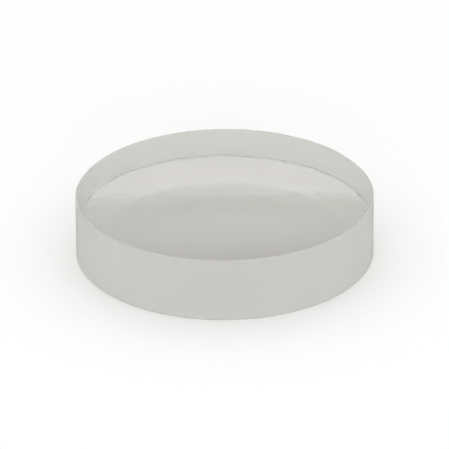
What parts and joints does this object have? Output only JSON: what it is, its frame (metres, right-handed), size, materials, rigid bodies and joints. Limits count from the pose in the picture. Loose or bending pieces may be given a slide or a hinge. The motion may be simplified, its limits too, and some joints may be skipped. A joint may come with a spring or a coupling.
{
  "type": "biconcave lens",
  "caption": "Round disc of clear optical glass, hollowed on both polished faces, thick at its ground cylindrical edge and thin in the middle; it spreads a beam of light.",
  "frame": {"origin": "on the optical axis, in the plane that the lower rim lies on", "axes": "+Z along the optical axis, from the lower face to the upper face; X and Y across the lens, with no preferred direction because it is round"},
  "size_m": [0.0254, 0.0254, 0.0056],
  "materials": {
    "optical_glass": "polished clear faces with an antireflection coating; fine-ground pale grey edge and bevels"
  },
  "bodies": {
    "root": {"lens": "optical_glass"}
  },
  "joints": []
}
